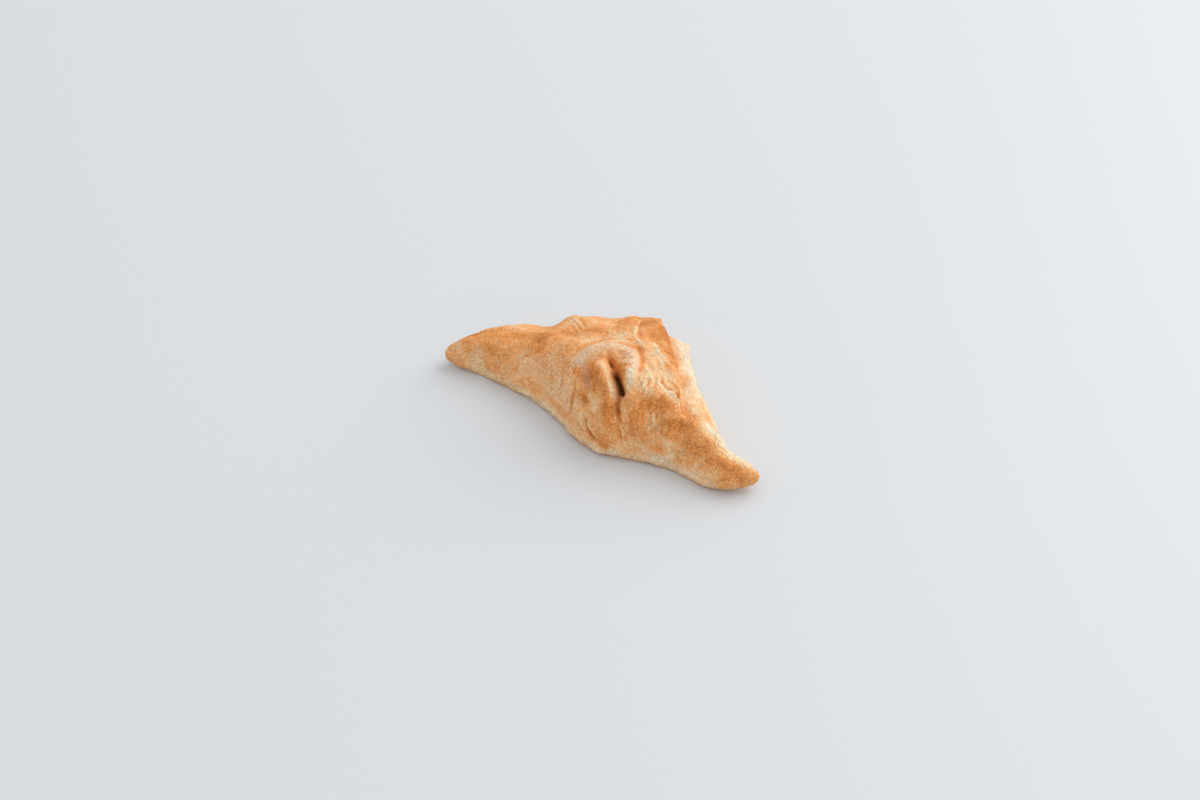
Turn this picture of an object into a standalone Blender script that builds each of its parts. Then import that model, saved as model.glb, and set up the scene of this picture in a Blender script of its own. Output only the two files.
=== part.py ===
"""A baked triangular filled turnover, whole and shut, as one solid.

Lengths in the tables are millimetres. X runs along the front side from the left corner,
Y runs towards the back corner and Z is up from the surface that it rests on.
"""
import bmesh
import bpy
import numpy as np

NAME = "patty"
MM = 0.001
CENTRE_X = 74.1
CENTRE_Y = 24.4

# Mesh
SLICES = 52
RINGS = 96
TOP_SHARE = 43 / 52
ROUND_ENDS = 0.35
EVEN_SLICES = 0.55
FINEST_FOLD = 1.5

# Ends of the long side, and how blunt they are
LEFT_END = -1.8
RIGHT_END = 150.0
END_BLUNTNESS = 20
END_CENTRE = 0.4

# Stations along X: front edge, back edge, crest position, crest height, height of the back shoulder
STATIONS = np.array([
    (-3, -3.2, 5.0, 1.6, 10.0, 8.5),
    (4, -2.0, 9.7, 4.0, 12.6, 11.6),
    (13, 0.4, 18.8, 7.0, 15.3, 15.7),
    (24, 0.5, 29.6, 10.0, 17.4, 16.4),
    (33, -0.2, 35.6, 12.2, 18.8, 14.8),
    (40, -0.9, 42.2, 13.4, 21.6, 18.0),
    (46, -1.9, 48.4, 14.0, 23.8, 18.6),
    (60, -6.0, 57.8, 13.4, 27.5, 19.0),
    (72, -12.0, 62.8, 11.0, 30.3, 22.4),
    (80, -14.2, 62.9, 8.6, 31.0, 21.8),
    (85, -14.4, 61.6, 7.4, 30.5, 21.5),
    (91, -13.4, 52.0, 7.0, 29.3, 20.5),
    (98, -11.0, 43.6, 6.6, 27.0, 18.5),
    (106, -8.6, 33.0, 5.6, 24.2, 16.5),
    (115, -7.2, 24.8, 4.4, 21.5, 14.8),
    (124, -7.8, 16.0, 3.0, 18.6, 12.2),
    (134, -8.2, 8.6, 1.2, 14.6, 9.0),
    (143, -5.8, 6.4, 0.7, 11.8, 8.0),
    (151, -0.4, 5.4, 1.6, 10.0, 7.3),
], dtype=float)

# Underside and rim
LEFT_TIP_LIFT = 2.5
LEFT_LIFT_FROM = 20
RIGHT_TIP_LIFT = 3.2
RIGHT_LIFT_FROM = 128
RIM_HEIGHT = 3.5
RIM_SHARPNESS = 7
UNDER_ROUNDING = 0.13
FRONT_SHOULDER = 9.0
SHOULDER_SINK = 6.0
SHOULDER_BLEND = 4.0
SLENDER_LEFT = (45, 25)
SLENDER_RIGHT = (118, 130)

# Slope of the top from the crest down to the rim
CREST_ROUNDNESS = 0.03
BACK_STEEPNESS = 1.6
SLENDER_STEEPNESS = 0.5
SLENDER_FULLNESS = 0.35
FRONT_FULLNESS = 0.85
SHOULDER_STARTS = (0.1, 0.5)
SLENDER_BLEND = 0.7

# How folds and laps fade at their ends, and all relief fades towards the rim
FOLD_FADE = 0.18
FOLD_END = 0.15
LAP_FADE = 0.15
RIM_FADE = 0.09

# The upper layer stops along this line, and the lower layer shows beyond it
LAYER_EDGE = (
    (69, 68), (74, 57), (77.4, 51.8), (80.6, 48.9), (87.2, 42.6), (96.4, 31.8), (102, 23), (108, 14),
    (115, 3))
LAYER_EDGE_WIDTH = 1.4
LOWER_LAYER = ((70, 7.5), (84, 8), (92, 10), (100, 13), (108, 16.5), (116, 20))
LAYER_STARTS = (60, 68)
LAYER_ENDS = (100, 118)

# Folds and grooves: plan positions, half width, height (sinks when negative)
FOLDS = {
    "collar round the vent": (
        ((66.4, 3.6), (67.0, 8.4), (70.0, 12.0), (74.4, 14.4), (79.5, 15.6), (83.4, 14.4), (86.4, 10),
         (88.3, 5.2), (89.3, 1)), 3.6, 2.1),
    "fold left of the vent": (
        ((71.3, 7.5), (75, 3.5), (79.2, -0.2), (83.2, -3.2), (86, -5.6), (87.0, -8.4),
         (87.2, -11)), 3.1, 3.0),
    "vent slit": (
        ((74.8, 10.8), (78.4, 7.3), (81.8, 4), (85, 1), (87.7, -1.4), (89.6, -3.2)), 1.7, -2.2),
    "vent hole": (((81.2, 5.0), (84.7, 2.0), (88.0, -1.2)), 2.0, -6.0),
    "vent corner": (((76.4, 9.2), (78.8, 7.2)), 1.1, -2.2),
    "crease under the vent": (
        ((87.0, -2.8), (88.6, -4.8), (89.8, -6.6), (91.2, -8.2), (93.2, -9.8), (95.4, -11)), 0.8, -1.1),
    "mouth of the crease": (((86.4, -2), (87.8, -4), (89, -5.8), (90.2, -7.6)), 1.5, -1.9),
    "crease round the collar": (
        ((60.5, 9.5), (61.8, 14.5), (64.5, 19.5), (70.6, 24.6), (76, 26.2), (81.4, 24.2),
         (85.9, 18.4), (89.2, 12), (91.3, 6.5), (92.3, 1.5)), 1.3, -1.1),
    "trough behind the collar": (((44, 22), (51, 21), (59, 21.5), (66, 27), (75, 30.5)), 4.5, -1.7),
    "roll along the back": (((36, 31), (46, 38), (56, 45), (66, 48), (74, 46)), 6.0, 0.7),
    "crack left of the hollow": (
        ((63.3, 6), (65.3, 0.6), (67.2, -2.5), (67.6, -4.7), (66.9, -6.9)), 1.0, -1.0),
    "groove over the skirt": (((46, -1.2), (58, -4.4), (66.5, -8), (73, -11)), 1.4, -0.5),
    "ridge beside the seam": (
        ((84, 27.6), (89.6, 27), (94.2, 24.2), (98.6, 20.6), (103.4, 15.6), (106.7, 11.5),
         (110, 6)), 2.6, 1.9),
    "seam valley": (
        ((95, 32), (101, 24.5), (105.5, 18.5), (109.5, 12.6), (113.5, 6.5), (118, 0.5)), 2.2, -1.6),
    "crease under the flap": (((80.5, 31.4), (83.6, 34.2), (87.4, 33.6), (91.5, 31.4)), 1.6, -1.6),
    "crack across the back": (((62.8, 56), (65.8, 50), (70.1, 42.4), (74.7, 35.6), (78.6, 31.6)), 0.9, -0.7),
    "first wrinkle": (((86.6, 24.3), (91.1, 22.6), (96, 18.6)), 0.9, 0.8),
    "second wrinkle": (((86.8, 19.5), (90.4, 18), (94.2, 15.2)), 1.0, 0.9),
    "third wrinkle": (((89.4, 13.6), (93, 11.8), (96.8, 8.8)), 0.9, 0.8),
    "fourth wrinkle": (((91.4, 7.6), (95, 5.4), (98.2, 2.4)), 0.9, 0.7),
    "pleat right of the crease": (((92.5, 0), (96.8, -3.6), (99.4, -5.6), (101.6, -7.8)), 3.2, 1.2),
    "valley beside the pleat": (((97.5, 1.8), (101, -1.8), (103.2, -4), (105, -6), (105.8, -8)), 2.6, -1.2),
    "pleat on the right arm": (((101.5, 9.5), (106.5, 3.2), (109.6, -1.4), (111.2, -5)), 3.8, 1.2),
    "valley on the right arm": (((112.2, 1.5), (115.2, -2), (117.6, -5.2)), 2.6, -1.2),
    "pleat on the left arm": (((37, 12), (35.4, 8), (33.6, 5), (32.4, 2)), 4.2, 1.0),
    "valley on the left arm": (((30, 14), (28, 8), (27, 3)), 4.5, -0.7),
    "shoulder of the left arm": (((26, 20), (36, 17), (47, 15.5), (60, 14.5)), 5.5, 0.4),
}

# Overlaps: plan positions, height of the upper side, reach of the raised side
OVERLAPS = {
    "lap over the skirt": (((71, -7), (75, -10.2), (78.4, -12.3), (82, -13.4), (87.5, -14.1)), 2.0, 6.0),
    "lap across the back": (((62.8, 56), (65.8, 50), (70.1, 42.4), (74.7, 35.6), (78.6, 31.6)), -0.8, 7.0),
}
OVERLAP_EDGE = (-0.3, 0.4)

# Swells and dents: plan position, radius, height (sinks when negative)
SWELLS = {
    "hollow left of the fold": (70.2, 0.2, 4.0, -3.6),
    "upper dent": (66.9, 4.2, 1.7, -1.6),
    "middle dent": (70.3, 1.2, 1.6, -1.2),
    "lower dent": (73.6, -3.0, 1.6, -1.0),
    "lobe right of the vent": (87.6, 4.6, 3.4, 0.8),
    "pit in the seam": (108.8, 11.6, 1.6, -1.8),
    "swell on the front": (57.0, 0.5, 8.0, 1.4),
    "pale bump": (111.9, -4.6, 3.0, 1.0),
    "swell on the right arm": (124.0, 1.0, 7.0, 1.2),
    "dip on the right arm": (131.5, 3.5, 5.0, -0.9),
    "swell on the roll": (42.0, 34.0, 5.0, 0.6),
    "dip on the roll": (53.5, 44.0, 5.0, -0.9),
    "swell on the flap": (76.5, 44.0, 6.5, 1.2),
}

# Unevenness of the dough: seed, number of waves, length, height
BROAD_WAVES = (4, 9, 17.0, 0.35)
SHORT_WAVES = (12, 12, 8.0, 0.2)

# Numerical steps for the outward direction
STEP_ALONG = 0.2
STEP_AROUND = 0.003
PATH_PIECES = 5
TINY_LENGTH = 1e-9
TINY_TURN = 1e-7

CRUST_COLOUR = (0.72, 0.42, 0.19, 1)
CRUST_ROUGHNESS = 0.7


def station(column, x):
    """Smooth curve through one column of the stations."""
    places = STATIONS[:, 0]
    values = STATIONS[:, column]
    spans = np.diff(places)
    slopes = np.diff(values) / spans
    tangents = np.empty_like(values)
    tangents[1:-1] = (spans[1:] * slopes[:-1] + spans[:-1] * slopes[1:]) / (spans[1:] + spans[:-1])
    tangents[0] = slopes[0]
    tangents[-1] = slopes[-1]
    k = np.clip(np.searchsorted(places, x) - 1, 0, len(places) - 2)
    t = np.clip((x - places[k]) / spans[k], 0, 1)
    start = (2 * t**3 - 3 * t**2 + 1) * values[k] + (t**3 - 2 * t**2 + t) * spans[k] * tangents[k]
    end = (3 * t**2 - 2 * t**3) * values[k + 1] + (t**3 - t**2) * spans[k] * tangents[k + 1]
    return start + end


def ramp(low, high, value):
    """Smooth rise from 0 at low to 1 at high."""
    t = np.clip((value - low) / (high - low), 0, 1)
    return t * t * (3 - 2 * t)


def rounded_path(points):
    """Smooth path through a few points."""
    p = np.array(points, dtype=float)
    p = np.vstack([2 * p[0] - p[1], p, 2 * p[-1] - p[-2]])
    path = []
    for k in range(1, len(p) - 2):
        a, b, c, d = p[k - 1:k + 3]
        for t in np.linspace(0, 1, PATH_PIECES, endpoint=False):
            bend = (2 * a - 5 * b + 4 * c - d) * t**2 + (3 * b - a - 3 * c + d) * t**3
            path.append(0.5 * (2 * b + (c - a) * t + bend))
    path.append(p[-2])
    return np.array(path)


def nearest_on_path(places, path):
    """Distance, offset, run and share of length for the nearest place on a path."""
    distance = np.full(len(places), np.inf)
    offset = np.zeros_like(places)
    run = np.zeros_like(places)
    share = np.zeros(len(places))
    for k in range(len(path) - 1):
        piece = path[k + 1] - path[k]
        t = np.clip((places - path[k]) @ piece / (piece @ piece), 0, 1)
        away = places - path[k] - t[:, None] * piece
        length = np.linalg.norm(away, axis=1)
        near = length < distance
        distance[near] = length[near]
        offset[near] = away[near]
        run[near] = piece
        share[near] = (k + t[near]) / (len(path) - 1)
    return distance, offset, run, share


def floor_height(x):
    """Underside: flat on the surface, with both tips lifted a little."""
    left = LEFT_TIP_LIFT * ramp(-LEFT_LIFT_FROM, -LEFT_END, -x)
    return left + RIGHT_TIP_LIFT * ramp(RIGHT_LIFT_FROM, RIGHT_END, x)


def past_layer_edge(x, y):
    """Share of the lower layer at a plan position: 1 beyond the upper layer's edge."""
    places = np.column_stack([x, y])
    distance, offset, run, _ = nearest_on_path(places, np.array(LAYER_EDGE, dtype=float))
    side = np.sign(run[:, 0] * offset[:, 1] - run[:, 1] * offset[:, 0])
    beyond = ramp(-LAYER_EDGE_WIDTH, LAYER_EDGE_WIDTH, distance * side)
    return beyond * ramp(*LAYER_STARTS, x) * (1 - ramp(*LAYER_ENDS, x))


def top_height(x, y, layered=True):
    """Height of the smooth top over a plan position."""
    front = station(1, x)
    back = station(2, x)
    crest = station(3, x)
    height = station(4, x)
    rim = floor_height(x) + RIM_HEIGHT
    behind = y > crest
    t = np.clip(np.where(behind, (y - crest) / (back - crest), (crest - y) / (crest - front)), 0, 1)
    slender = ramp(-SLENDER_LEFT[0], -SLENDER_LEFT[1], -x) + ramp(*SLENDER_RIGHT, x)
    soft = np.sqrt(t**2 + CREST_ROUNDNESS) - np.sqrt(CREST_ROUNDNESS)
    soft = soft / (np.sqrt(1 + CREST_ROUNDNESS) - np.sqrt(CREST_ROUNDNESS))
    steepness = BACK_STEEPNESS + SLENDER_STEEPNESS * slender
    back_slope = (1 - soft**steepness)**(1 - SLENDER_FULLNESS * slender)
    front_slope = (1 - t**2)**FRONT_FULLNESS
    main = rim + (height - rim) * np.where(behind, back_slope, front_slope)
    away = ramp(*SHOULDER_STARTS, t)
    shoulder = np.where(behind, station(5, x), FRONT_SHOULDER) - SHOULDER_SINK * (1 - away)
    blend = SHOULDER_BLEND * away * (1 - SLENDER_BLEND * slender)
    body = 0.5 * (main + shoulder + np.sqrt((main - shoulder)**2 + blend**2))
    if layered:
        steps = np.array(LOWER_LAYER)
        lower = np.minimum(np.interp(x, steps[:, 0], steps[:, 1]), body)
        body = body + (lower - body) * past_layer_edge(x, y)
    return rim + (body - rim) * np.sqrt(np.clip(1 - t**RIM_SHARPNESS, 0, 1))


def section_place(x, side, layered=True):
    """Smooth surface: side runs 0 to 1 over the top from front to back, and 1 to 2 back underneath."""
    on_top = side <= 1
    over = EVEN_SLICES * (2 * side - 1) - (1 - EVEN_SLICES) * np.cos(np.pi * side)
    across = np.where(on_top, over, np.cos(np.pi * (side - 1)))
    front = station(1, x)
    back = station(2, x)
    crest = station(3, x)
    y = crest + np.where(across > 0, back - crest, crest - front) * across
    floor = floor_height(x)
    inset = np.clip((1 - np.abs(across)) / UNDER_ROUNDING, 0, 1)
    under = floor + RIM_HEIGHT * (1 - np.sqrt(1 - (1 - inset)**2))
    z = np.where(on_top, top_height(x, y, layered), under)
    middle_y = 0.5 * (front + back)
    middle_z = floor + END_CENTRE * (station(4, x) - floor)
    cap = end_cap(x)
    return np.column_stack([x, middle_y + (y - middle_y) * cap, middle_z + (z - middle_z) * cap])


def end_cap(x):
    """Share of the full section that is left near the two ends."""
    reach = (2 * x - LEFT_END - RIGHT_END) / (RIGHT_END - LEFT_END)
    return np.sqrt(np.clip(1 - np.abs(reach)**END_BLUNTNESS, 0, 1))


def outward(x, side):
    """Outward direction of the smooth body."""
    ahead = section_place(x + STEP_ALONG, side, False) - section_place(x - STEP_ALONG, side, False)
    round_side = np.clip(side, STEP_AROUND, 2 - STEP_AROUND)
    after = section_place(x, round_side + STEP_AROUND, False)
    before = section_place(x, round_side - STEP_AROUND, False)
    normal = np.cross(ahead, after - before)
    return normal / (np.linalg.norm(normal, axis=1, keepdims=True) + TINY_LENGTH)


def lifted(points):
    """A plan path laid on the smooth top."""
    path = rounded_path(points)
    return np.column_stack([path, top_height(path[:, 0], path[:, 1])])


def fold_relief(places, finest):
    """Height that the folds and grooves add."""
    total = np.zeros(len(places))
    for points, half_width, height in FOLDS.values():
        width = np.hypot(half_width, finest)
        distance, _, _, share = nearest_on_path(places, lifted(points))
        fade = FOLD_END + (1 - FOLD_END) * ramp(0, FOLD_FADE, share) * ramp(0, FOLD_FADE, 1 - share)
        total += height * half_width / width * fade * np.exp(-(distance / width)**2)
    return total


def overlap_relief(places, normals):
    """Height that the laps of dough add, with a sharp lower edge."""
    total = np.zeros(len(places))
    for points, height, reach in OVERLAPS.values():
        distance, offset, run, share = nearest_on_path(places, lifted(points))
        side = distance * np.sign((np.cross(normals, run) * offset).sum(axis=1))
        fade = ramp(0, LAP_FADE, share) * ramp(0, LAP_FADE, 1 - share)
        total += height * fade * ramp(*OVERLAP_EDGE, side) * np.exp(-np.maximum(side, 0) / reach)
    return total


def swell_relief(places):
    """Height that the swells and dents add."""
    total = np.zeros(len(places))
    for x, y, radius, height in SWELLS.values():
        middle = np.array([x, y, top_height(np.array([float(x)]), np.array([float(y)]))[0]])
        total += height * np.exp(-((places - middle)**2).sum(axis=1) / radius**2)
    return total


def waves(places, seed, count, length, height):
    """Sum of seeded waves through space."""
    seeded = np.random.default_rng(seed)
    total = np.zeros(len(places))
    for _ in range(count):
        way = seeded.normal(size=3)
        way = way / np.linalg.norm(way)
        turns = places @ way / (length * seeded.uniform(0.7, 1.4))
        total += np.sin(2 * np.pi * (turns + seeded.uniform()))
    return height * total / np.sqrt(count)


def crust_place(x, side, finest):
    """Finished surface in millimetres."""
    places = section_place(x, side)
    normals = outward(x, side)
    relief = fold_relief(places, finest)
    relief += overlap_relief(places, normals)
    relief += swell_relief(places)
    relief += waves(places, *BROAD_WAVES) + waves(places, *SHORT_WAVES)
    above = ramp(0, RIM_FADE, side) * ramp(0, RIM_FADE, 1 - side) * end_cap(x)
    return places + normals * (relief * above)[:, None]


def length_place(share):
    """Position along X for a share of the way from end to end."""
    spread = 2 * share - 1 - ROUND_ENDS * (2 * share - 1 + np.cos(np.pi * share))
    return 0.5 * (LEFT_END + RIGHT_END) + 0.5 * (RIGHT_END - LEFT_END) * spread


def side_place(share):
    """Side of the section for a share of the way round it."""
    return np.where(share < TOP_SHARE, share / TOP_SHARE, 1 + (share - TOP_SHARE) / (1 - TOP_SHARE))


def shaped_sphere():
    """A sphere with its poles at the two ends, drawn out into the turnover."""
    mesh = bmesh.new()
    bmesh.ops.create_uvsphere(mesh, u_segments=SLICES, v_segments=RINGS, radius=1)
    ball = np.array([vertex.co[:] for vertex in mesh.verts])
    along = length_place(np.arccos(np.clip(-ball[:, 2], -1, 1)) / np.pi)
    around = np.mod(np.arctan2(ball[:, 1], ball[:, 0]) / (2 * np.pi) + TINY_TURN, 1)
    shaped = crust_place(along, side_place(around), FINEST_FOLD)
    shaped = (shaped - (CENTRE_X, CENTRE_Y, 0)) * MM
    for vertex, place in zip(mesh.verts, shaped):
        vertex.co = place
    bmesh.ops.recalc_face_normals(mesh, faces=mesh.faces)
    return mesh


def crust_material():
    """Plain baked crust."""
    material = bpy.data.materials.new("crust")
    material.use_nodes = True
    shader = material.node_tree.nodes["Principled BSDF"]
    shader.inputs["Base Color"].default_value = CRUST_COLOUR
    shader.inputs["Roughness"].default_value = CRUST_ROUGHNESS
    return material


def build():
    """The turnover alone in the scene."""
    for item in list(bpy.data.objects):
        bpy.data.objects.remove(item)
    shape = shaped_sphere()
    mesh = bpy.data.meshes.new(NAME)
    shape.to_mesh(mesh)
    shape.free()
    mesh.materials.append(crust_material())
    mesh.shade_smooth()
    patty = bpy.data.objects.new(NAME, mesh)
    group = bpy.data.collections.new("haitian_patty")
    bpy.context.scene.collection.children.link(group)
    group.objects.link(patty)


build()
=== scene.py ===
"""Looks of the baked turnover: fine crust relief, browning, flour, floor, light and camera.

Lengths in the tables of shape and tone are millimetres, as in the part. X runs along the front
side from the left corner, Y runs towards the back corner and Z is up.
"""
import bpy
import numpy as np
from mathutils import Matrix, Vector, noise


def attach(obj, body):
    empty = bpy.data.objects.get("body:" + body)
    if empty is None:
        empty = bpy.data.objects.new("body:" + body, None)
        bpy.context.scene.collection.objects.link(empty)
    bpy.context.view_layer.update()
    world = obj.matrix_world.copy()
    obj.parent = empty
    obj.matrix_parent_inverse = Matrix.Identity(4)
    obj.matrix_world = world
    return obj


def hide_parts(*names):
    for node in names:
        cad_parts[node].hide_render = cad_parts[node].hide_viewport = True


MM = 0.001
CENTRE_X = 74.1
CENTRE_Y = 24.4

# Fine mesh: slices along the turnover, places over its top and under it, where they lie closer, and
# the side that is given to the single point at each end
SLICES = 420
OVER = 214
UNDER = 20
CROWDED_LENGTH = (88, 26, 1.3)
CROWDED_TOP = (0.36, 0.2, 0.9)
CROWDING_STEPS = 2000
END_SIDE = 0.5

# Ends of the long side, and how blunt they are
LEFT_END = -1.8
RIGHT_END = 150.0
ROUND_ENDS = 0.35
EVEN_SLICES = 0.55
END_BLUNTNESS = 20
END_CENTRE = 0.4

# Stations along X: front edge, back edge, crest position, crest height, height of the back shoulder
STATIONS = np.array([
    (-3, -3.2, 5.0, 1.6, 10.0, 8.5),
    (4, -2.0, 9.7, 4.0, 12.6, 11.6),
    (13, 0.4, 18.8, 7.0, 15.3, 15.7),
    (24, 0.5, 29.6, 10.0, 17.4, 16.4),
    (33, -0.2, 35.6, 12.2, 18.8, 14.8),
    (40, -0.9, 42.2, 13.4, 21.6, 18.0),
    (46, -1.9, 48.4, 14.0, 23.8, 18.6),
    (60, -6.0, 57.8, 13.4, 27.5, 19.0),
    (72, -12.0, 62.8, 11.0, 30.3, 22.4),
    (80, -14.2, 62.9, 8.6, 31.0, 21.8),
    (85, -14.4, 61.6, 7.4, 30.5, 21.5),
    (91, -13.4, 52.0, 7.0, 29.3, 20.5),
    (98, -11.0, 43.6, 6.6, 27.0, 18.5),
    (106, -8.6, 33.0, 5.6, 24.2, 16.5),
    (115, -7.2, 24.8, 4.4, 21.5, 14.8),
    (124, -7.8, 16.0, 3.0, 18.6, 12.2),
    (134, -8.2, 8.6, 1.2, 14.6, 9.0),
    (143, -5.8, 6.4, 0.7, 11.8, 8.0),
    (151, -0.4, 5.4, 1.6, 10.0, 7.3),
], dtype=float)

# Underside and rim
LEFT_TIP_LIFT = 2.5
LEFT_LIFT_FROM = 20
RIGHT_TIP_LIFT = 3.2
RIGHT_LIFT_FROM = 128
RIM_HEIGHT = 3.5
RIM_SHARPNESS = 7
UNDER_ROUNDING = 0.13
FRONT_SHOULDER = 9.0
SHOULDER_SINK = 6.0
SHOULDER_BLEND = 4.0
SLENDER_LEFT = (45, 25)
SLENDER_RIGHT = (118, 130)

# Slope of the top from the crest down to the rim
CREST_ROUNDNESS = 0.03
BACK_STEEPNESS = 1.6
SLENDER_STEEPNESS = 0.5
SLENDER_FULLNESS = 0.35
FRONT_FULLNESS = 0.85
SHOULDER_STARTS = (0.1, 0.5)
SLENDER_BLEND = 0.7

# How folds and laps fade at their ends, and all relief fades towards the rim
FOLD_FADE = 0.18
FOLD_END = 0.15
LAP_FADE = 0.15
RIM_FADE = 0.09

# The upper layer stops along this line, and the lower layer shows beyond it
LAYER_EDGE = (
    (69, 68), (74, 57), (77.4, 51.8), (80.6, 48.9), (87.2, 42.6), (96.4, 31.8), (102, 23), (108, 14),
    (115, 3))
LAYER_EDGE_WIDTH = 1.0
LOWER_LAYER = ((70, 7.5), (84, 8), (92, 10), (100, 13), (108, 16.5), (116, 20))
LAYER_STARTS = (60, 68)
LAYER_ENDS = (100, 118)

# Folds and grooves of the part: plan positions or places in space, half width, and height, which is
# negative where they sink
FOLDS = {
    "collar round the vent": (
        ((66.4, 3.6), (67, 8.4), (70, 12), (74.4, 14.4), (79.5, 15.6), (83.4, 14.4), (86.4, 10),
         (88.3, 5.2), (89.3, 1)), 3.6, 2.1),
    "fold left of the vent": (
        ((71.3, 7.5), (75, 3.5), (79.2, -0.2), (83.2, -3.2), (86, -5.6), (87, -8.4),
         (87.2, -11)), 3.1, 3),
    "vent slit": (
        ((74.8, 10.8), (78.4, 7.3), (81.8, 4), (85, 1), (87.7, -1.4), (89.6, -3.2)), 1.7, -2.2),
    "vent hole": (((80.4, 5.2), (82.4, 3.7), (85.2, 1.2), (87.8, -1.4), (89.6, -3.7)), 1.75, -6),
    "vent corner": (((76.2, 8.8), (77.4, 8.3), (79.5, 6.4)), 1, -2),
    "crease under the vent": (
        ((87.6, -3.4, 25), (88.4, -4.4, 23.2), (89.6, -6.3, 20.1), (91.2, -7.3, 17.7),
         (93.4, -8.4, 14.2)), 1.1, -1.1),
    "mouth of the crease": (((86.4, -2), (87.8, -4), (89, -5.8), (90.2, -7.6)), 1.5, -1.9),
    "crease round the collar": (
        ((60.5, 9.5), (61.8, 14.5), (64.5, 19.5), (70.6, 24.6), (76, 26.2), (81.4, 24.2),
         (85.9, 18.4), (89.2, 12), (91.3, 6.5), (92.3, 1.5)), 1.3, -1.1),
    "trough behind the collar": (((44, 22), (51, 21), (59, 21.5), (66, 27), (75, 30.5)), 4.5, -1.7),
    "roll along the back": (((36, 31), (46, 38), (56, 45), (66, 48), (74, 46)), 6, 0.7),
    "crack left of the hollow": (
        ((65.6, -0.6, 20.6), (66.9, -3.1, 17.6), (67.1, -5, 14.2), (67.5, -6.7, 11.3),
         (67.3, -8.4, 7.6)), 0.6, -0.7),
    "groove over the skirt": (((46, -1.2), (58, -4.4), (66.5, -8), (73, -11)), 1.4, -0.5),
    "ridge beside the seam": (
        ((84, 27.6), (89.6, 27), (94.2, 24.2), (98.6, 20.6), (103.4, 15.6), (106.7, 11.5),
         (110, 6)), 2.6, 1.9),
    "seam valley": (
        ((95, 32), (101, 24.5), (105.5, 18.5), (109.5, 12.6), (113.5, 6.5), (118, 0.5)), 2.2, -1.6),
    "crease under the flap": (((80.5, 31.4), (83.6, 34.2), (87.4, 33.6), (91.5, 31.4)), 1.6, -1.6),
    "crack across the back": (((62.8, 56), (65.8, 50), (70.1, 42.4), (74.7, 35.6), (78.6, 31.6)), 0.9, -0.7),
    "first wrinkle": (((86.6, 24.3), (91.1, 22.6), (96, 18.6)), 0.9, 0.8),
    "second wrinkle": (((86.8, 19.5), (90.4, 18), (94.2, 15.2)), 1, 0.9),
    "third wrinkle": (((89.4, 13.6), (93, 11.8), (96.8, 8.8)), 0.9, 0.8),
    "fourth wrinkle": (((91.4, 7.6), (95, 5.4), (98.2, 2.4)), 0.9, 0.7),
    "pleat right of the crease": (((92.5, 0), (96.8, -3.6), (99.4, -5.6), (101.6, -7.8)), 3.2, 1.2),
    "valley beside the pleat": (((97.5, 1.8), (101, -1.8), (103.2, -4), (105, -6), (105.8, -8)), 2.6, -1.2),
    "pleat on the right arm": (((101.5, 9.5), (106.5, 3.2), (109.6, -1.4), (111.2, -5)), 3.8, 1.2),
    "valley on the right arm": (((112.2, 1.5), (115.2, -2), (117.6, -5.2)), 2.6, -1.2),
    "pleat on the left arm": (((37, 12), (35.4, 8), (33.6, 5), (32.4, 2)), 4.2, 1),
    "valley on the left arm": (((30, 14), (28, 8), (27, 3)), 4.5, -0.7),
    "shoulder of the left arm": (((26, 20), (36, 17), (47, 15.5), (60, 14.5)), 5.5, 0.4),
}

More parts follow.
